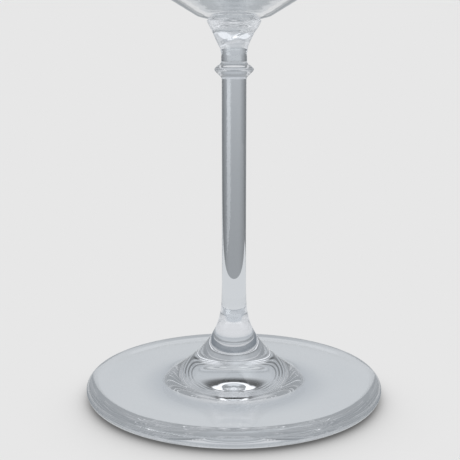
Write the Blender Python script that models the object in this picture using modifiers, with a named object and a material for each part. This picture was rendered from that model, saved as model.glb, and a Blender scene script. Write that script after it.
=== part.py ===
"""Jenever glass: a tulip bowl on a collared stem and a round foot.

Five pieces of clear glass, each a profile turned about Z and standing on the piece below it.
Lengths are in metres, +Z is up and the foot stands on z = 0.
"""

import math

import bpy
from mathutils import Vector

MM = 0.001
UP = Vector((0.0, 1.0))

# The welds: the real pieces are fused, and the solids stand this far apart
WELD_GAP = 0.3 * MM

# Foot: a plate with a full-round edge, a trumpet rising from it and a shallow hollow underneath
FOOT_DIAMETER = 65.0 * MM
FOOT_EDGE_THICKNESS = 3.74 * MM
FOOT_HEIGHT = 18.3 * MM
TRUMPET_DIAMETER = 29.6 * MM
TRUMPET_TOP_ANGLE = math.radians(9.1)
TRUMPET_BASE_ANGLE = math.radians(40.0)
TRUMPET_TOP_PULL = 0.59
TRUMPET_BASE_PULL = 0.25
TRUMPET_FILLET = 3.0 * MM
HOLLOW_DIAMETER = 12.8 * MM
HOLLOW_DEPTH = 0.84 * MM

# Stem: a solid rod that swells into the weld on the foot
STEM_DIAMETER = 5.2 * MM
STEM_LENGTH = 50.0 * MM
SWELL = 0.35 * MM
SWELL_LENGTH = 11.0 * MM
SWELL_TOP_PULL = 0.75
SWELL_BASE_PULL = 0.11

# Collar: a ring that comes to a rounded edge, with a short run of stem below it and a neck above it
COLLAR_PROJECTION = 1.66 * MM
COLLAR_EDGE_RADIUS = 0.6 * MM
COLLAR_LOWER_SLOPE = math.radians(40.0)
COLLAR_UPPER_SLOPE = math.radians(31.0)
COLLAR_FILLET = 0.35 * MM
COLLAR_LEAD = 0.25 * MM
NECK_DIAMETER = 5.4 * MM
NECK_LENGTH = 1.45 * MM

# Head: a weld bead, a waist and a flare that carries the bowl
BEAD_PROJECTION = 0.34 * MM
BEAD_HEIGHT = 0.8 * MM
BEAD_ROUND = 0.5 * MM
HEAD_WAIST_ABOVE_BEAD = 0.75 * MM
HEAD_WAIST_ROUND = 0.9 * MM
FLARE_HEIGHT = 5.55 * MM
FLARE_DIAMETER = 11.4 * MM

# Bowl: an edge above the head, then shoulder, belly, waist and lip
EDGE_PROJECTION = 1.9 * MM
EDGE_HEIGHT = 0.45 * MM
SHOULDER_ANGLE = math.radians(59.4)
SHOULDER_PULL = 0.52
SHOULDER_WALL = 2.2 * MM
BELLY_DIAMETER = 54.0 * MM
BELLY_ABOVE_EDGE = 21.0 * MM
BELLY_LOWER_PULL = 0.44
BELLY_UPPER_PULL = 0.42
WAIST_DIAMETER = 43.6 * MM
WAIST_ABOVE_BELLY = 33.5 * MM
WAIST_PULL = 0.42
LIP_DIAMETER = 46.4 * MM
LIP_ABOVE_WAIST = 14.0 * MM
LIP_ANGLE = math.radians(11.0)
LIP_PULL = 0.4
LIP_WALL = 1.2 * MM
BOTTOM_FLAT = 0.75
BOTTOM_PULL = 0.67

# Facets
WIDE_STEPS = 56
SLENDER_STEPS = 36
CURVE_POINTS = 7
ROUND_POINTS = 4
SHARP_ANGLE = math.radians(35.0)

GLASS_IOR = 1.52
GLASS_ROUGHNESS = 0.02


def heading(angle):
    """Direction in the (radius, height) plane that leans out from the axis by an angle."""
    return Vector((math.sin(angle), math.cos(angle)))


def bezier(start, start_pull, end_pull, end, count=CURVE_POINTS):
    """Cubic curve through two points, with the handles given as offsets from them."""
    near = start + start_pull
    far = end + end_pull
    points = []
    for index in range(count + 1):
        t = index / count
        s = 1.0 - t
        points.append(s**3 * start + 3 * s * s * t * near + 3 * s * t * t * far + t**3 * end)
    return points


def arc(centre, radius, start, end, count):
    """Points of an arc, with angles measured from the outward radius towards +Z."""
    angles = [start + (end - start) * index / count for index in range(count + 1)]
    return [centre + radius * Vector((math.cos(a), math.sin(a))) for a in angles]


def rounded(before, corner, after, radius):
    """Arc of a radius that replaces the corner between two straight runs."""
    back = (before - corner).normalized()
    ahead = (after - corner).normalized()
    half = 0.5 * back.angle(ahead)
    reach = radius / math.tan(half)
    centre = corner + (back + ahead).normalized() * (radius / math.sin(half))
    first = corner + back * reach - centre
    last = corner + ahead * reach - centre
    start = math.atan2(first.y, first.x)
    turn = math.remainder(math.atan2(last.y, last.x) - start, 2.0 * math.pi)
    return arc(centre, radius, start, start + turn, ROUND_POINTS)


def glass(name):
    """Clear, faintly cool glass."""
    material = bpy.data.materials.new(name)
    material.use_nodes = True
    shader = material.node_tree.nodes["Principled BSDF"]
    shader.inputs["Base Color"].default_value = (0.93, 0.95, 0.96, 1.0)
    shader.inputs["Metallic"].default_value = 0.0
    shader.inputs["Roughness"].default_value = GLASS_ROUGHNESS
    shader.inputs["IOR"].default_value = GLASS_IOR
    shader.inputs["Transmission Weight"].default_value = 1.0
    return material


def turned(name, profile, steps, seat, parent):
    """Turn a profile, listed down its outer side, into a closed piece that stands at a height."""
    mesh = bpy.data.meshes.new(name)
    edges = [(index, index + 1) for index in range(len(profile) - 1)]
    mesh.from_pydata([(point.x, 0.0, point.y) for point in profile], edges, [])
    piece = bpy.data.objects.new(name, mesh)
    parent.users_collection[0].objects.link(piece)
    piece.parent = parent
    piece.location.z = seat

    screw = piece.modifiers.new("turn", "SCREW")
    screw.steps = steps
    screw.render_steps = steps
    screw.use_merge_vertices = True
    screw.merge_threshold = 0.001 * MM

    evaluated = piece.evaluated_get(bpy.context.evaluated_depsgraph_get())
    piece.data = bpy.data.meshes.new_from_object(evaluated)
    piece.data.name = name
    piece.modifiers.clear()
    piece.data.shade_smooth()
    piece.data.set_sharp_from_angle(angle=SHARP_ANGLE)
    piece.data.materials.clear()
    piece.data.materials.append(glass(name + "_glass"))
    bpy.data.meshes.remove(mesh)
    return piece


def foot_profile():
    edge_radius = 0.5 * FOOT_EDGE_THICKNESS
    edge_centre = Vector((0.5 * FOOT_DIAMETER - edge_radius, edge_radius))
    weld = Vector((0.5 * STEM_DIAMETER + SWELL, FOOT_HEIGHT))
    base = Vector((0.5 * TRUMPET_DIAMETER, FOOT_EDGE_THICKNESS))
    top_pull = -heading(-TRUMPET_TOP_ANGLE) * TRUMPET_TOP_PULL * (weld.y - base.y)
    base_pull = heading(TRUMPET_BASE_ANGLE - 0.5 * math.pi) * TRUMPET_BASE_PULL * (base.x - weld.x)

    trumpet = bezier(weld, top_pull, base_pull, base)
    edge = arc(edge_centre, edge_radius, 0.5 * math.pi, -0.5 * math.pi, 2 * ROUND_POINTS)

    # The hollow is part of a sphere through its rim on the table and its top on the axis
    rim = 0.5 * HOLLOW_DIAMETER
    sphere = (rim**2 + HOLLOW_DEPTH**2) / (2.0 * HOLLOW_DEPTH)
    drop = sphere - HOLLOW_DEPTH
    hollow = arc(-UP * drop, sphere, math.atan2(drop, rim), 0.5 * math.pi, ROUND_POINTS)

    profile = [UP * FOOT_HEIGHT] + trumpet[:-1]
    profile += rounded(trumpet[-2], base, edge[0], TRUMPET_FILLET)
    return profile + edge + hollow


def stem_profile():
    radius = 0.5 * STEM_DIAMETER
    weld = Vector((radius + SWELL, 0.0))
    swell = bezier(Vector((radius, SWELL_LENGTH)), -UP * SWELL_TOP_PULL * SWELL_LENGTH,
                   heading(-TRUMPET_TOP_ANGLE) * SWELL_BASE_PULL * SWELL_LENGTH, weld)
    return [UP * STEM_LENGTH, Vector((radius, STEM_LENGTH))] + swell + [Vector((0.0, 0.0))]


def collar_profile():
    neck = 0.5 * NECK_DIAMETER
    stem = 0.5 * STEM_DIAMETER
    # The flanks meet in a point that stands past the ring's rounded edge
    half_point = 0.5 * (COLLAR_LOWER_SLOPE + COLLAR_UPPER_SLOPE)
    past = COLLAR_EDGE_RADIUS * (1.0 / math.sin(half_point) - 1.0)
    bottom = Vector((stem, 0.0))
    lower = Vector((stem, COLLAR_LEAD))
    point = Vector((stem + COLLAR_PROJECTION + past, 0.0))
    point.y = lower.y + (point.x - stem) * math.tan(COLLAR_LOWER_SLOPE)
    upper = Vector((neck, point.y + (point.x - neck) * math.tan(COLLAR_UPPER_SLOPE)))
    top = upper + UP * NECK_LENGTH

    profile = [UP * top.y, top]
    profile += rounded(top, upper, point, COLLAR_FILLET)
    profile += rounded(upper, point, lower, COLLAR_EDGE_RADIUS)
    profile += rounded(point, lower, bottom, COLLAR_FILLET)
    return profile + [bottom, Vector((0.0, 0.0))]


def head_profile():
    weld = Vector((0.5 * NECK_DIAMETER, 0.0))
    bead = weld + Vector((BEAD_PROJECTION, BEAD_HEIGHT))
    waist = Vector((weld.x, bead.y + HEAD_WAIST_ABOVE_BEAD))
    rim = Vector((0.5 * FLARE_DIAMETER, waist.y + FLARE_HEIGHT))
    profile = [UP * rim.y, rim]
    profile += rounded(rim, waist, bead, HEAD_WAIST_ROUND)
    profile += rounded(waist, bead, weld, BEAD_ROUND)
    return profile + [weld, Vector((0.0, 0.0))]


def bowl_profile():
    seat = Vector((0.5 * FLARE_DIAMETER, 0.0))
    edge = seat + Vector((EDGE_PROJECTION, EDGE_HEIGHT))
    belly = Vector((0.5 * BELLY_DIAMETER, edge.y + BELLY_ABOVE_EDGE))
    waist = Vector((0.5 * WAIST_DIAMETER, belly.y + WAIST_ABOVE_BELLY))
    lip = Vector((0.5 * LIP_DIAMETER, waist.y + LIP_ABOVE_WAIST))
    shoulder_pull = heading(SHOULDER_ANGLE) * SHOULDER_PULL * (belly - edge).length

    outside = bezier(edge, shoulder_pull, -UP * BELLY_LOWER_PULL * BELLY_ABOVE_EDGE, belly)
    outside += bezier(belly, UP * BELLY_UPPER_PULL * WAIST_ABOVE_BELLY,
                      -UP * WAIST_PULL * WAIST_ABOVE_BELLY, waist)[1:]
    outside += bezier(waist, UP * LIP_PULL * LIP_ABOVE_WAIST,
                      -heading(LIP_ANGLE) * LIP_PULL * LIP_ABOVE_WAIST, lip, ROUND_POINTS)[1:]

    # The inside follows the outside at the wall's thickness, which thins out from shoulder to lip
    inside = []
    for index, point in enumerate(outside):
        along = outside[min(index + 1, len(outside) - 1)] - outside[max(index - 1, 0)]
        inward = Vector((-along.y, along.x)).normalized()
        share = (1.0 - index / (len(outside) - 1))**2
        inside.append(point + inward * (LIP_WALL + (SHOULDER_WALL - LIP_WALL) * share))

    # The bottom is rounded off from the inner end of the shoulder to the axis
    low = inside[0]
    bend = low - heading(SHOULDER_ANGLE) * (1.0 - BOTTOM_FLAT) * low.x / math.sin(SHOULDER_ANGLE)
    bottom = bezier(UP * bend.y, Vector((BOTTOM_PULL * bend.x, 0.0)),
                    BOTTOM_PULL * (bend - low), low, ROUND_POINTS)

    across = outside[-1] - inside[-1]
    tilt = math.atan2(across.y, across.x)
    rim = arc(0.5 * (outside[-1] + inside[-1]), 0.5 * LIP_WALL, math.pi + tilt, tilt, 2 * ROUND_POINTS)
    return bottom[:-1] + inside[:-1] + rim + outside[-2::-1] + [seat, Vector((0.0, 0.0))]


def main():
    for old in list(bpy.data.objects):
        bpy.data.objects.remove(old, do_unlink=True)
    collection = bpy.data.collections.new("jenever_glass")
    bpy.context.scene.collection.children.link(collection)
    axis = bpy.data.objects.new("jenever_glass_axis", None)
    collection.objects.link(axis)

    stack = (
        ("foot", foot_profile(), WIDE_STEPS),
        ("stem", stem_profile(), SLENDER_STEPS),
        ("collar", collar_profile(), SLENDER_STEPS),
        ("stem_head", head_profile(), SLENDER_STEPS),
        ("bowl", bowl_profile(), WIDE_STEPS),
    )
    seat = 0.0
    for name, profile, steps in stack:
        turned(name, profile, steps, seat, axis)
        top = seat + max(point.y for point in profile)
        print(f"{name}: from {seat / MM:.2f} to {top / MM:.2f} mm")
        seat = top + WELD_GAP


main()
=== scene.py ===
import bpy
import math
import numpy as np
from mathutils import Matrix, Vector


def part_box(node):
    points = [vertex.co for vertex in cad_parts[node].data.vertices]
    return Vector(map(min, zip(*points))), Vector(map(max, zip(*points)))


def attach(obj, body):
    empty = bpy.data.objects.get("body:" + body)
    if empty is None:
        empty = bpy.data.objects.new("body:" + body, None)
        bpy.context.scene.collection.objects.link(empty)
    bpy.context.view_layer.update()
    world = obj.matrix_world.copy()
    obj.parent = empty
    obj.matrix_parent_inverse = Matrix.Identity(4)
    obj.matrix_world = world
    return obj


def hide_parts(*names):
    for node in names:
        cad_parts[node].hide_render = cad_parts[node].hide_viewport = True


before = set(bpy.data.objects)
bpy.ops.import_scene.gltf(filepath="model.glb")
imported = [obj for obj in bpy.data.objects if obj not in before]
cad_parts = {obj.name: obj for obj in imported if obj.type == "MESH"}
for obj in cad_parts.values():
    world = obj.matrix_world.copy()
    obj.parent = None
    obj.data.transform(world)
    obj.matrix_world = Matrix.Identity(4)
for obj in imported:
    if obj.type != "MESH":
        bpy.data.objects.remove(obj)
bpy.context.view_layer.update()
mm = 0.001
print("frame loaded:", ", ".join(sorted(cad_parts)))

# How finely surfaces are cut: segments round the axis, and points or steps along each stretch of a section
detail = {"segments": 256, "footSegments": 420, "trumpet": 72, "runOut": 16, "plate": 9, "edge": 40,
          "underside": (7, 60, 20), "stem": 60, "collar": 160, "head": 140, "bowl": (64, 44, 24),
          "bowlBottom": 30, "rim": 24, "seat": 14, "card": 40}
# faces that meet at more than this angle in degrees keep a sharp edge
sharpAngle = 40.0
# a face within this height of a weld, in metres, belongs to it
weldTolerance = 1e-6


# Curves and surfaces

# a point of the half section: distance from the axis and height above the table, in mm
def at(radius, height):
    return np.array([radius, height], float)


# unit step that leans out from the axis by an angle in degrees
def lean(degrees):
    return at(math.sin(math.radians(degrees)), math.cos(math.radians(degrees)))


# cubic curve: start and end weighted by (1-t)^3 and t^3, the two handles by 3t(1-t)^2 and 3t^2(1-t)
def cubic(start, startHandle, endHandle, end, count):
    t = np.linspace(0.0, 1.0, count + 1)[:, None]
    s = 1.0 - t
    return (s**3 * start + 3.0 * s * s * t * (start + startHandle)
            + 3.0 * s * t * t * (end + endHandle) + t**3 * end)


# arc about a centre, angles in degrees from the outward radius towards the top
def arc(centre, radius, first, last, count):
    angle = np.radians(np.linspace(first, last, count + 1))
    return centre + radius * np.stack([np.cos(angle), np.sin(angle)], axis=1)


# larger of two values with a rounded change-over: half of their sum plus the root of their difference
# squared and the rounding squared
def softMax(a, b, rounding):
    return 0.5 * (a + b + np.sqrt((a - b)**2 + rounding**2))


# smaller of two values, rounded in the same way
def softMin(a, b, rounding):
    return -softMax(-a, -b, rounding)


# bell curve of height 1 at a centre: e to the minus square of the distance in widths
def bell(value, centre, width):
    return np.exp(-((value - centre) / width)**2)


# waves of a pitch and a height between two places: a sine that fades in and out over one pitch
def waves(value, span, pitch, height):
    fade = np.clip((value - span[0]) / pitch, 0.0, 1.0) * np.clip((span[1] - value) / pitch, 0.0, 1.0)
    return height * fade * np.sin(2.0 * math.pi * (value - span[0]) / pitch)


# A half section turned about the axis: the point of row i at angle a is (r cos a, r sin a, z), with the
# rows listed from the top of the axis down the outer side; the first and last rows are poles on the axis.
# wobble adds to the radius what the hand left there, as a function of height and angle.
def turned(name, section, segments, materials, capHeights=(), wobble=None):
    rings = section[1:-1]
    angle = np.linspace(0.0, 2.0 * math.pi, segments, endpoint=False)
    radius = np.repeat(rings[:, :1], segments, axis=1)
    height = np.repeat(rings[:, 1:], segments, axis=1)
    if wobble is not None:
        radius = radius + wobble(height, angle[None, :])
    grid = np.stack([radius * np.cos(angle), radius * np.sin(angle), height], axis=2)
    poles = np.array([[0.0, 0.0, section[0, 1]], [0.0, 0.0, section[-1, 1]]])
    points = np.concatenate([grid.reshape(-1, 3), poles]) * mm

    rows = len(rings)
    top = rows * segments
    this = np.arange(segments)
    following = (this + 1) % segments
    row = np.arange(rows - 1)[:, None] * segments
    below = row + segments
    quads = np.stack([row + this, below + this, below + following, row + following], axis=2)
    last = (rows - 1) * segments
    capTop = np.stack([np.full(segments, top), this, following], axis=1)
    capBottom = np.stack([last + this, np.full(segments, top + 1), last + following], axis=1)
    faces = quads.reshape(-1, 4).tolist() + capTop.tolist() + capBottom.tolist()

    mesh = bpy.data.meshes.new(name)
    mesh.from_pydata(points.tolist(), [], faces)
    mesh.update()
    mesh.shade_smooth()
    for material in materials:
        mesh.materials.append(material)
    # the flat faces at the weld heights are inside the fused glass and take the second material
    centres = np.empty(len(mesh.polygons) * 3)
    mesh.polygons.foreach_get("center", centres)
    faceHeights = centres.reshape(-1, 3)[:, 2]
    slots = np.zeros(len(mesh.polygons), dtype=np.int32)
    for weld in capHeights:
        slots[np.abs(faceHeights - weld * mm) < weldTolerance] = 1
    mesh.polygons.foreach_set("material_index", slots)
    mesh.set_sharp_from_angle(angle=math.radians(sharpAngle))
    piece = bpy.data.objects.new(name, mesh)
    bpy.context.scene.collection.objects.link(piece)
    return piece


# Nodes

# an sRGB colour written as hex, as linear values
def linear(hexColour):
    parts = [int(hexColour[i:i + 2], 16) / 255.0 for i in (1, 3, 5)]
    return tuple(p / 12.92 if p <= 0.04045 else ((p + 0.055) / 1.055)**2.4 for p in parts) + (1.0,)


# adds a node: settings are its own properties, and an input gets a value or, from another node, a link
def add(tree, kind, settings=None, **inputs):
    node = tree.nodes.new(kind)
    for key, value in (settings or {}).items():
        setattr(node, key, value)
    for key, value in inputs.items():
        numbered = key[0] == "i" and key[1:].isdigit()
        socket = node.inputs[int(key[1:]) if numbered else key.replace("_", " ")]
        if isinstance(value, bpy.types.NodeSocket):
            tree.links.new(value, socket)
        else:
            socket.default_value = value
    return node


# goes from first to last, eased, while a value goes from low to high
def eased(tree, value, low, high, first=0.0, last=1.0):
    return add(tree, "ShaderNodeMapRange", {"interpolation_type": "SMOOTHSTEP"}, Value=value,
               From_Min=low, From_Max=high, To_Min=first, To_Max=last).outputs[0]


def product(tree, a, b):
    return add(tree, "ShaderNodeMath", {"operation": "MULTIPLY"}, i0=a, i1=b).outputs[0]


# the first colour where the share is 0, and the second where it is 1
def mixed(tree, share, first, second):
    return add(tree, "ShaderNodeMix", {"data_type": "RGBA"}, i0=share, i6=first, i7=second).outputs["Result"]


# the same with two shaders
def blended(tree, share, first, second):
    return add(tree, "ShaderNodeMixShader", i0=share, i1=first, i2=second).outputs[0]


def newTree(material):
    material.use_nodes = True
    material.node_tree.nodes.clear()
    return material.node_tree


# Materials

# Soda-lime glass, drawn, blown or pressed and fire-polished: clear and smooth, faintly cool, with patches
# of a deeper tint; where the walls are thin, as in the bowl, both tints are fainter
glassLook = {"tint": "#F4F6F9", "deepTint": "#ECEFF3", "thinTint": "#FBFCFD", "thinDeepTint": "#F6F8FA",
             "tintPatch": 14.0, "patchDetail": 2.0, "roughness": 0.0, "ior": 1.52}


def sodaLimeGlass(name, tint="tint", deepTint="deepTint"):
    s = glassLook
    material = bpy.data.materials.new(name)
    tree = newTree(material)
    where = add(tree, "ShaderNodeTexCoord").outputs["Object"]
    patch = add(tree, "ShaderNodeTexNoise", Vector=where, Scale=1.0 / (s["tintPatch"] * mm),
                Detail=s["patchDetail"])
    colour = mixed(tree, patch.outputs["Fac"], linear(s[tint]), linear(s[deepTint]))
    glass = add(tree, "ShaderNodeBsdfPrincipled", Base_Color=colour, Roughness=s["roughness"], IOR=s["ior"],
                Transmission_Weight=1.0)
    add(tree, "ShaderNodeOutputMaterial", Surface=glass.outputs["BSDF"])
    return material


# Inside of a weld: the two glasses have run together, so nothing shows there
def fusedWeld(name):
    material = bpy.data.materials.new(name)
    tree = newTree(material)
    clear = add(tree, "ShaderNodeBsdfTransparent", Color=(1.0, 1.0, 1.0, 1.0))
    add(tree, "ShaderNodeOutputMaterial", Surface=clear.outputs["BSDF"])
    return material


weldInside = fusedWeld("fused weld")


# Weld heights in mm, halfway in the gaps that the frame leaves
def gapMiddle(lower, upper):
    return 0.5 * (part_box(lower)[1][2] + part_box(upper)[0][2]) / mm


weldFoot = gapMiddle("foot", "stem")
weldCollar = gapMiddle("stem", "collar")
weldNeck = gapMiddle("collar", "stem_head")
weldBowl = gapMiddle("stem_head", "bowl")

# Lengths of the pieces are in mm, and angles in degrees

# Foot: a plate with a round edge, a trumpet on it, and a shallow hollow with rings round it underneath
footShape = {"radius": 32.5, "edge": 3.74, "edgeCrease": 32.0, "trumpetRadius": 15.1, "topLean": 9.1,
             "baseSlope": 40.0, "topPull": 8.6, "basePull": 3.0, "trumpetFillet": 1.6, "filletPull": 0.6,
             "weldRadius": 2.95,
             "hollowRadius": 6.4, "hollowDepth": 0.95, "hollowLip": 0.2, "lipInside": 0.6,
             "rings": (6.5, 10.3), "ringPitch": 0.68, "ringHeight": 0.038,
             "waves": (8.8, 15.2), "wavePitch": 1.05, "waveHeight": 0.004,
             "weldBead": 0.05, "weldBeadDrop": 1.0, "weldBeadWidth": 0.5}


def buildFoot():
    s = footShape
    half = 0.5 * s["edge"]
    # the round of the edge meets the plate in a slight crease
    edgeArc = 90.0 - s["edgeCrease"]
    edgeRadius = half / math.sin(math.radians(edgeArc))
    edgeCentre = at(s["radius"] - edgeRadius, half)
    edge = arc(edgeCentre, edgeRadius, edgeArc, -edgeArc, detail["edge"])
    weld = at(s["weldRadius"], weldFoot)
    base = at(s["trumpetRadius"], s["edge"])
    topHandle = -lean(-s["topLean"]) * s["topPull"]
    baseHandle = lean(s["baseSlope"] - 90.0) * s["basePull"]
    trumpet = cubic(weld, topHandle, baseHandle, base, detail["trumpet"])
    trumpet[:, 0] += waves(trumpet[:, 1], s["waves"], s["wavePitch"], s["waveHeight"])
    trumpet[:, 0] += s["weldBead"] * bell(trumpet[:, 1], weldFoot - s["weldBeadDrop"], s["weldBeadWidth"])
    # the trumpet runs out on the plate in a short curve
    reach = s["trumpetFillet"]
    keep = trumpet[trumpet[:, 0] < base[0] - reach]
    runOut = cubic(keep[-1], (base - keep[-1]) * s["filletPull"], at(-s["filletPull"] * reach, 0.0),
                   base + at(reach, 0.0), detail["runOut"])
    trumpet = np.concatenate([keep, runOut[1:]])
    plate = np.linspace(trumpet[-1], edge[0], detail["plate"])
    # underside: flat, with a round hollow at its middle, a parabola whose lip is rounded over
    outer = s["rings"][1] + s["ringPitch"]
    inner = s["hollowRadius"] - s["lipInside"]
    flatRows, ringRows, hollowRows = detail["underside"]
    r = np.concatenate([np.linspace(edge[-1, 0], outer, flatRows)[1:],
                        np.linspace(outer, inner, ringRows)[1:],
                        np.linspace(inner, 0.0, hollowRows)[1:]])
    cap = s["hollowDepth"] * (1.0 - (r / s["hollowRadius"])**2)
    z = softMax(cap, 0.0 * r, s["hollowLip"]) - 0.5 * (np.hypot(cap[0], s["hollowLip"]) + cap[0])
    z += s["ringHeight"] + waves(r, s["rings"], s["ringPitch"], s["ringHeight"])
    underside = np.stack([r, z], axis=1)
    section = np.concatenate([[at(0.0, weldFoot)], trumpet, plate[1:-1], edge, underside])
    glass = [sodaLimeGlass("pressed glass of the foot"), weldInside]
    return turned("glass_foot", section, detail["footSegments"], glass, [weldFoot])


# Stem: a straight rod that swells in a curve towards its weld with the foot
stemShape = {"radius": 2.60, "swellLength": 11.0, "swellPull": 8.2, "weldPull": 1.2}


def buildStem():
    s = stemShape
    swellTop = at(s["radius"], weldFoot + s["swellLength"])
    weld = at(footShape["weldRadius"], weldFoot)
    rod = np.linspace(at(s["radius"], weldCollar), swellTop, detail["stem"])
    weldHandle = lean(-footShape["topLean"]) * s["weldPull"]
    swell = cubic(swellTop, at(0.0, -s["swellPull"]), weldHandle, weld, detail["stem"])
    section = np.concatenate([[at(0.0, weldCollar)], rod, swell[1:], [at(0.0, weldFoot)]])
    glass = [sodaLimeGlass("drawn glass of the stem"), weldInside]
    return turned("glass_stem", section, detail["segments"], glass, [weldCollar, weldFoot])


# Collar: its outside is the stem or the neck, or further out the lower of its two flanks, all rounded over
collarShape = {"point": 4.96, "pointHeight": 70.91, "lowerSlope": 37.0, "upperSlope": 30.0, "neck": 2.70,
               "edgeRounding": 1.70, "rootRounding": 0.30}


def buildCollar():
    s = collarShape
    z = np.linspace(weldNeck, weldCollar, detail["collar"])
    lower = s["point"] - (s["pointHeight"] - z) / math.tan(math.radians(s["lowerSlope"]))
    upper = s["point"] - (z - s["pointHeight"]) / math.tan(math.radians(s["upperSlope"]))
    shaft = np.where(z > s["pointHeight"], s["neck"], stemShape["radius"])
    r = softMax(shaft, softMin(lower, upper, s["edgeRounding"]), s["rootRounding"])
    section = np.concatenate([[at(0.0, weldNeck)], np.stack([r, z], axis=1), [at(0.0, weldCollar)]])
    glass = [sodaLimeGlass("tooled glass of the collar"), weldInside]
    return turned("glass_collar", section, detail["segments"], glass, [weldNeck, weldCollar])


# Head of the stem: a weld bead on the neck, a straight flare above it, and a groove where it joins the bowl
headShape = {"bead": 0.05, "beadHeight": 74.70, "beadWidth": 0.30, "waist": 2.62, "waistRounding": 0.70,
             "flareRadius": 5.70, "flareTop": 81.03, "flareSlope": 0.527,
             "groove": 0.45, "grooveWidth": 0.18,
             "lap": 0.10, "lapHeight": 77.3, "lapTilt": 1.8, "lapTurn": 0.0, "lapWidth": 0.35,
             "bend": 0.30, "bendHeight": 76.6, "bendTurn": 100.0, "bendLength": 1.3,
             "dent": 0.10, "dentHeight": 78.3, "dentTurn": -30.0, "dentWidth": 0.25, "dentSpread": 40.0}


# what the tools left on the head: where its gather laps over the stem, a soft step along a tilted ring, as
# the hyperbolic tangent of the distance from it; a slight bend, as the cosine of the angle from its side;
# and a dent, a bell curve both up and round the flare
def headMarks(height, angle):
    s = headShape
    ring = s["lapHeight"] + s["lapTilt"] * np.cos(angle - math.radians(s["lapTurn"]))
    lap = s["lap"] * np.tanh((height - ring) / s["lapWidth"])
    bendSide = np.cos(angle - math.radians(s["bendTurn"]))
    bend = s["bend"] * bell(height, s["bendHeight"], s["bendLength"]) * bendSide
    turn = np.mod(np.degrees(angle) - s["dentTurn"] + 180.0, 360.0) - 180.0
    dent = s["dent"] * bell(height, s["dentHeight"], s["dentWidth"]) * bell(turn, 0.0, s["dentSpread"])
    return lap + bend - dent


def buildHead():
    s = headShape
    z = np.linspace(weldBowl, weldNeck, detail["head"])
    flare = s["flareRadius"] - (s["flareTop"] - z) * s["flareSlope"]
    r = softMax(flare, s["waist"], s["waistRounding"]) + s["bead"] * bell(z, s["beadHeight"], s["beadWidth"])
    r -= s["groove"] * bell(z, weldBowl, s["grooveWidth"])
    section = np.concatenate([[at(0.0, weldBowl)], np.stack([r, z], axis=1), [at(0.0, weldNeck)]])
    glass = [sodaLimeGlass("tooled glass of the head"), weldInside]
    return turned("glass_stem_head", section, detail["segments"], glass, [weldBowl, weldNeck], headMarks)


# Bowl: three curves from its lower edge over the belly and the waist to the lip, and a wall inside them
bowlShape = {"edge": (7.60, 81.72), "shoulderLean": 59.4, "shoulderPull": 14.9, "belly": (27.0, 102.7),
             "bellyLowerPull": 9.24, "bellyUpperPull": 14.0, "waist": (21.8, 136.2), "waistPull": 14.0,
             "lip": (23.2, 150.2), "lipLean": 11.0, "lipPull": 5.6, "shoulderWall": 1.7, "lipWall": 1.2,
             "bottomFlat": 0.58, "bottomPull": 0.35, "seatPull": (-1.2, -0.4), "jointPull": (0.3, 0.1),
             "streak": 0.02, "streakPitch": 0.9, "streakHeight": 82.0, "streakReach": 6.0}


def buildBowl():
    s = bowlShape
    edge, belly, waist, lip = at(*s["edge"]), at(*s["belly"]), at(*s["waist"]), at(*s["lip"])
    up = at(0.0, 1.0)
    shoulder = lean(s["shoulderLean"])
    lowSteps, middleSteps, topSteps = detail["bowl"]
    outside = np.concatenate([
        cubic(edge, shoulder * s["shoulderPull"], -up * s["bellyLowerPull"], belly, lowSteps),
        cubic(belly, up * s["bellyUpperPull"], -up * s["waistPull"], waist, middleSteps)[1:],
        cubic(waist, up * s["lipPull"], -lean(s["lipLean"]) * s["lipPull"], lip, topSteps)[1:]])
    # faint streaks round the shoulder, a sine up its height that fades with a bell curve
    height = outside[:, 1]
    sine = np.sin(2.0 * math.pi * height / s["streakPitch"])
    outside[:, 0] += s["streak"] * (sine * bell(height, s["streakHeight"], s["streakReach"]))
    # the inside lies square off the outside by the wall, which thins from the shoulder to the lip
    along = np.gradient(outside, axis=0)
    inward = np.stack([-along[:, 1], along[:, 0]], axis=1) / np.linalg.norm(along, axis=1)[:, None]
    share = np.linspace(1.0, 0.0, len(outside))[:, None]**2
    inside = outside + inward * (s["lipWall"] + (s["shoulderWall"] - s["lipWall"]) * share)
    # its bottom runs on along the shoulder's line and then turns flat
    low = inside[0]
    bend = low - shoulder * (1.0 - s["bottomFlat"]) * low[0] / math.sin(math.radians(s["shoulderLean"]))
    flatHandle = at(s["bottomPull"] * bend[0], 0.0)
    bottom = cubic(at(0.0, bend[1]), flatHandle, s["bottomPull"] * (bend - low), low, detail["bowlBottom"])
    across = outside[-1] - inside[-1]
    tilt = math.degrees(math.atan2(across[1], across[0]))
    rimCentre = 0.5 * (outside[-1] + inside[-1])
    rim = arc(rimCentre, 0.5 * s["lipWall"], 180.0 + tilt, tilt, detail["rim"])
    joint = at(headShape["flareRadius"] - headShape["groove"], weldBowl)
    seat = cubic(edge, at(*s["seatPull"]), at(*s["jointPull"]), joint, detail["seat"])[1:]
    section = np.concatenate([bottom[:-1], inside[:-1], rim, outside[-2::-1], seat, [at(0.0, weldBowl)]])
    glass = [sodaLimeGlass("blown glass of the bowl", "thinTint", "thinDeepTint"), weldInside]
    return turned("glass_bowl", section, detail["segments"], glass, [weldBowl])


pieces = (("foot", buildFoot, "foot_glass"), ("stem", buildStem, "stem_glass"),
          ("collar", buildCollar, "stem_glass"), ("stem_head", buildHead, "stem_glass"),
          ("bowl", buildBowl, "bowl_glass"))
for node, build, slot in pieces:
    piece = build()
    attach(piece, "root")
    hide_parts(node)
    print(piece.name, len(piece.data.polygons), "faces")

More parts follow.
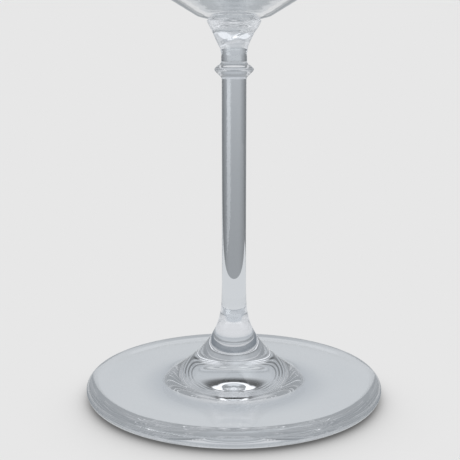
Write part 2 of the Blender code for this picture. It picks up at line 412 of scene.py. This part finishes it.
# Light that has gone to and fro inside the glass many times is given one even tone: on the table and the
# cards, all round, and overhead. It takes over between the first and the last of these bounces
evenLight = {"tone": 0.38, "roundTone": 0.64, "topTone": 0.95, "firstBounce": 3.5, "lastBounce": 6.0,
             "colour": "#F3F8FC", "topColour": "#FCFDFF"}


# the colour of a light at a tone
def lightOf(tone, colour):
    return tuple(tone * part for part in linear(colour)[:3]) + (1.0,)


# share of the even tone, by the number of bounces
def evenShare(tree):
    depth = add(tree, "ShaderNodeLightPath").outputs["Ray Depth"]
    return eased(tree, depth, evenLight["firstBounce"], evenLight["lastBounce"])


# Stage, in metres: a table with a back edge. The camera sees it as one pale ground with the glass's shadow.
# The glass sees it with tones set for the photo: a shade round the foot, a light middle and a darker ring
stage = {"ground": "#E7E7E7", "table": "#D9DBDC", "tableBack": 0.104, "tableFront": -1.2, "tableLeft": -0.14,
         "tableRight": 0.6, "drop": 0.0001,
         "shadowReach": 0.016, "shadowLean": 0.9, "shadowFull": 0.12, "shadowTone": 0.12,
         "shadowSamples": 24,
         # seat is painted shade on the table round the foot's edge, which only the glass sees
         "seat": "#7A8188", "paintedShadeIn": (0.0315, 0.0335), "paintedShadeOut": (0.0345, 0.0405), "paintedShadeShift": 0.001,
         # middle is painted light on the table under the trumpet, which only the glass sees
         "paintedLightMiddle": "#E5E5E6", "paintedLightReach": (0.008, 0.018),
         # ring is a painted shade ring round that light, which only the glass sees
         "ring": "#C0C4C8", "paintedShadeRingIn": (0.0125, 0.0155), "paintedShadeRingOut": (0.0145, 0.0225), "paintedShadeRingShift": 0.0008}


# distance of a place from a point that lies forward of the axis by a shift
def distanceFrom(tree, place, shift):
    moved = add(tree, "ShaderNodeVectorMath", {"operation": "ADD"}, i0=place, i1=(0.0, shift, 0.0))
    return add(tree, "ShaderNodeVectorMath", {"operation": "LENGTH"}, i0=moved.outputs[0]).outputs["Value"]


# what the camera sees: the ground with a soft shadow of the light above and behind, by how much of the sky
# on that side the glass takes away
def tableForCamera(tree):
    s = stage
    towards = add(tree, "ShaderNodeCombineXYZ", X=0.0, Y=s["shadowLean"], Z=1.0)
    shade = add(tree, "ShaderNodeAmbientOcclusion", {"samples": s["shadowSamples"]},
                Distance=s["shadowReach"], Normal=towards.outputs[0])
    openSky = eased(tree, shade.outputs["AO"], s["shadowFull"], 1.0)
    return mixed(tree, openSky, (s["shadowTone"],) * 3 + (1.0,), linear(s["ground"]))


# what the glass sees: painted light under the trumpet's middle, standing for the light it gathers there, a
# painted darker ring round it that this light is missing from, and painted shade from the foot's edge out to
# a circle that lies further forward
def tableForGlass(tree):
    s = stage
    place = add(tree, "ShaderNodeTexCoord").outputs["Object"]
    fromFoot = distanceFrom(tree, place, 0.0)
    fromPaintedShadeRing = distanceFrom(tree, place, s["paintedShadeRingShift"])
    fromShade = distanceFrom(tree, place, s["paintedShadeShift"])
    paintedLightShare = eased(tree, fromFoot, *s["paintedLightReach"], 1.0, 0.0)
    paintedShadeRingEnd = eased(tree, fromPaintedShadeRing, *s["paintedShadeRingOut"], 1.0, 0.0)
    ring = product(tree, eased(tree, fromPaintedShadeRing, *s["paintedShadeRingIn"]), paintedShadeRingEnd)
    paintedShadeEnd = eased(tree, fromShade, *s["paintedShadeOut"], 1.0, 0.0)
    seat = product(tree, eased(tree, fromFoot, *s["paintedShadeIn"]), paintedShadeEnd)
    # the table's tone with painted light in the middle, a painted shade ring and painted shade round the
    # foot
    tone = mixed(tree, paintedLightShare, linear(s["table"]), linear(s["paintedLightMiddle"]))
    tone = mixed(tree, ring, tone, linear(s["ring"]))
    tone = mixed(tree, seat, tone, linear(s["seat"]))
    return mixed(tree, evenShare(tree), tone, lightOf(evenLight["tone"], evenLight["colour"]))


def floorMaterial():
    material = bpy.data.materials.new("pale table")
    tree = newTree(material)
    toCamera = add(tree, "ShaderNodeEmission", Color=tableForCamera(tree)).outputs[0]
    toGlass = add(tree, "ShaderNodeEmission", Color=tableForGlass(tree)).outputs[0]
    cameraRay = add(tree, "ShaderNodeLightPath").outputs["Is Camera Ray"]
    both = blended(tree, cameraRay, toGlass, toCamera)
    # from below the table lets the foot be seen
    below = add(tree, "ShaderNodeNewGeometry").outputs["Backfacing"]
    clear = add(tree, "ShaderNodeBsdfTransparent").outputs[0]
    add(tree, "ShaderNodeOutputMaterial", Surface=blended(tree, below, both, clear))
    return material


def buildTable():
    s = stage
    mesh = bpy.data.meshes.new("table")
    corners = [(s["tableLeft"], s["tableFront"], -s["drop"]), (s["tableRight"], s["tableFront"], -s["drop"]),
               (s["tableRight"], s["tableBack"], -s["drop"]), (s["tableLeft"], s["tableBack"], -s["drop"])]
    mesh.from_pydata(corners, [], [(0, 1, 2, 3)])
    mesh.materials.append(floorMaterial())
    table = bpy.data.objects.new("table", mesh)
    bpy.context.scene.collection.objects.link(table)


buildTable()

# Studio: the pale ground all round, plain light for whatever isn't glass, and soft-edged cards round a point
# at this height, in metres, that only the glass sees. Light that has passed more surfaces than passLimit has
# been through both walls of the bowl, or through as many elsewhere
studio = {"plainStrength": 0.8, "height": 0.07, "passLimit": 3.5}


def buildWorld():
    world = bpy.data.worlds.new("studio")
    bpy.context.scene.world = world
    world.use_nodes = True
    tree = world.node_tree
    tree.nodes.clear()
    ray = add(tree, "ShaderNodeLightPath")
    seen = add(tree, "ShaderNodeMath", {"operation": "ADD"}, i0=ray.outputs["Is Camera Ray"],
               i1=ray.outputs["Is Glossy Ray"])
    shown = add(tree, "ShaderNodeMath", {"operation": "ADD", "use_clamp": True}, i0=seen.outputs[0],
                i1=ray.outputs["Is Transmission Ray"])
    plain = add(tree, "ShaderNodeBackground", Color=(1.0, 1.0, 1.0, 1.0), Strength=studio["plainStrength"])
    pale = mixed(tree, evenShare(tree), linear(stage["ground"]),
                 lightOf(evenLight["roundTone"], evenLight["topColour"]))
    ground = add(tree, "ShaderNodeBackground", Color=pale, Strength=1.0)
    both = blended(tree, shown.outputs[0], plain.outputs[0], ground.outputs[0])
    add(tree, "ShaderNodeOutputWorld", Surface=both)


buildWorld()
print("table and studio built")

# Cards, each by its span across (degrees, 0 behind the glass, + to the right) and up, its tones at the
# bottom and the top of a ramp, and the softness in degrees of its left, right, lower and upper edge. The far
# card takes the place of the back card for light that has been through the bowl
cards = {
    "back_card": {"across": (-80.0, 80.0), "up": (-20.0, 45.0), "tones": (0.36, 0.58), "ramp": (-16.0, 8.0),
                  "soft": (25.0, 25.0, 3.0, 28.0), "distance": 1.0, "onePass": True},
    "far_card": {"across": (-55.0, 55.0), "up": (-9.0, 20.0), "tones": (0.34, 0.55), "ramp": (-16.0, 8.0),
                 "soft": (14.0, 14.0, 6.0, 8.0), "distance": 1.02},
    "header": {"across": (-100.0, 100.0), "up": (14.0, 46.0), "tones": (0.045, 0.045),
               "soft": (20.0, 20.0, 24.0, 8.0), "distance": 1.1, "fromInside": True},
    "header_top": {"across": (-26.0, 26.0), "up": (34.0, 54.0), "tones": (0.045, 0.045),
                   "soft": (10.0, 10.0, 6.0, 4.0), "distance": 1.05, "fromInside": True},
    "left_flag": {"across": (-118.0, -12.0), "up": (-20.0, 36.0), "tones": (0.13, 0.18),
                  "ramp": (-14.0, 5.0), "soft": (14.0, 54.0, 3.0, 10.0), "distance": 0.8, "onePass": True},
    "right_flag": {"across": (12.0, 118.0), "up": (-20.0, 36.0), "tones": (0.13, 0.18),
                   "ramp": (-14.0, 5.0), "soft": (54.0, 14.0, 3.0, 10.0), "distance": 0.8, "onePass": True},
    "overhead": {"across": (-180.0, 180.0), "up": (41.0, 90.0), "tones": (1.3, 1.3),
                 "soft": (0.0, 0.0, 3.0, 0.0), "distance": 1.2, "even": evenLight["topTone"],
                 "colour": evenLight["topColour"]},
    "roof_panel": {"across": (-70.0, 70.0), "up": (57.5, 84.0), "tones": (0.36, 0.36),
                   "soft": (20.0, 20.0, 1.5, 6.0), "distance": 1.15},
    "roof_window": {"across": (-20.0, 20.0), "up": (59.0, 72.0), "tones": (0.85, 0.85),
                    "soft": (4.0, 4.0, 1.5, 5.0), "distance": 1.1},
    "side_window": {"across": (70.0, 220.0), "up": (50.0, 80.0), "tones": (3.4, 3.4),
                    "soft": (36.0, 50.0, 12.0, 8.0), "distance": 0.85, "inReflectionsOnly": True},
    "front_window": {"across": (105.0, 255.0), "up": (-2.0, 13.0), "tones": (2.6, 2.6),
                     "soft": (25.0, 25.0, 4.0, 6.0), "distance": 0.9, "inReflectionsOnly": True},
    "strip_light": {"across": (-156.0, -100.0), "up": (-30.0, 0.5), "tones": (3.2, 6.0),
                    "ramp": (-14.0, 0.0), "soft": (18.0, 18.0, 6.0, 3.0), "distance": 0.7,
                    "inReflectionsOnly": True}}
# the ramp of a card with one tone, and the degrees to one unit of the cards' UV map
levelRamp = (0.0, 1.0)
uvUnit = 90.0


# share of the card that shows: 0 at its edges and 1 a little inside them, and 0 to light not meant to see it
def cardShare(tree, card, across, up):
    left, right, bottom, top = card["soft"]
    edges = ((across, card["across"][0], left), (across, card["across"][1], -right),
             (up, card["up"][0], bottom), (up, card["up"][1], -top))
    share = 1.0
    for value, edge, step in edges:
        if step:
            share = product(tree, eased(tree, value, edge / uvUnit, (edge + step) / uvUnit), share)
    ray = add(tree, "ShaderNodeLightPath")
    if card.get("fromInside", False):
        # only for light that the glass has turned back from within
        for passes in ("Glossy Depth", "Transmission Depth"):
            once = add(tree, "ShaderNodeMath", {"operation": "MINIMUM"}, i0=ray.outputs[passes], i1=1.0)
            share = product(tree, once.outputs[0], share)
    if card.get("onePass", False):
        # not for light that has passed too many surfaces
        few = add(tree, "ShaderNodeMath", {"operation": "LESS_THAN"}, i0=ray.outputs["Transmission Depth"],
                  i1=studio["passLimit"])
        share = product(tree, few.outputs[0], share)
    return share


# a sheet of card or a diffuser: it shines with its tones, and lets light through where less of it shows
def cardMaterial(name, card):
    material = bpy.data.materials.new(name)
    tree = newTree(material)
    degrees = add(tree, "ShaderNodeUVMap", {"uv_map": "degrees"})
    spot = add(tree, "ShaderNodeSeparateXYZ", Vector=degrees.outputs[0])
    across, up = spot.outputs["X"], spot.outputs["Y"]
    low, high = card.get("ramp", levelRamp)
    tone = eased(tree, up, low / uvUnit, high / uvUnit, *card["tones"])
    even = add(tree, "ShaderNodeMix", i0=evenShare(tree), i2=tone, i3=card.get("even", evenLight["tone"]))
    colour = linear(card.get("colour", evenLight["colour"]))
    light = add(tree, "ShaderNodeEmission", Color=colour, Strength=even.outputs[0])
    clear = add(tree, "ShaderNodeBsdfTransparent")
    both = blended(tree, cardShare(tree, card, across, up), clear.outputs[0], light.outputs[0])
    add(tree, "ShaderNodeOutputMaterial", Surface=both)
    material.cycles.emission_sampling = "NONE"
    return material


# a card is a patch of a sphere about the glass: its distance times (cos up sin across, cos up cos across,
# sin up)
def buildCard(name, card):
    steps = detail["card"]
    side = steps + 1
    across, up = np.meshgrid(np.linspace(*card["across"], side), np.linspace(*card["up"], side))
    a, e = np.radians(across), np.radians(up)
    reach = card["distance"]
    points = np.stack([reach * np.cos(e) * np.sin(a), reach * np.cos(e) * np.cos(a), reach * np.sin(e)], 2)
    points[:, :, 2] += studio["height"]
    row = np.arange(steps)[:, None] * side + np.arange(steps)
    quads = np.stack([row, row + 1, row + side + 1, row + side], axis=2).reshape(-1, 4)
    mesh = bpy.data.meshes.new(name)
    mesh.from_pydata(points.reshape(-1, 3).tolist(), [], quads.tolist())
    corner = np.stack([across, up], axis=2).reshape(-1, 2)[quads.reshape(-1)] / uvUnit
    mesh.uv_layers.new(name="degrees").data.foreach_set("uv", corner.ravel())
    mesh.materials.append(cardMaterial(name, card))
    panel = bpy.data.objects.new(name, mesh)
    panel.visible_camera = False
    panel.visible_diffuse = False
    panel.visible_transmission = not card.get("inReflectionsOnly", False)
    bpy.context.scene.collection.objects.link(panel)


for name, card in cards.items():
    buildCard(name, card)
print(len(cards), "cards")

# Camera, fitted to the foot's ellipses and the upright stem: place in metres, pitch in degrees, lens in mm
view = {"place": (-0.00086, -0.1986, 0.07378), "pitch": 10.62, "lens": 73.0, "sensor": 36.0,
        "nearest": 0.01}
cameraData = bpy.data.cameras.new("camera")
cameraData.lens = view["lens"]
cameraData.sensor_width = view["sensor"]
cameraData.clip_start = view["nearest"]
camera = bpy.data.objects.new("camera", cameraData)
camera.location = view["place"]
camera.rotation_euler = (math.radians(90.0 - view["pitch"]), 0.0, 0.0)
bpy.context.scene.collection.objects.link(camera)
bpy.context.scene.camera = camera

# Light may go on through the glass for this many bounces, and through the cards for this many
bounces = 128
clearBounces = 32
scene = bpy.context.scene
scene.view_settings.view_transform = "Standard"
scene.cycles.denoising_input_passes = "RGB"
scene.cycles.max_bounces = bounces
scene.cycles.transmission_bounces = bounces
scene.cycles.glossy_bounces = bounces
scene.cycles.min_light_bounces = bounces
scene.cycles.transparent_max_bounces = clearBounces
scene.cycles.min_transparent_bounces = clearBounces
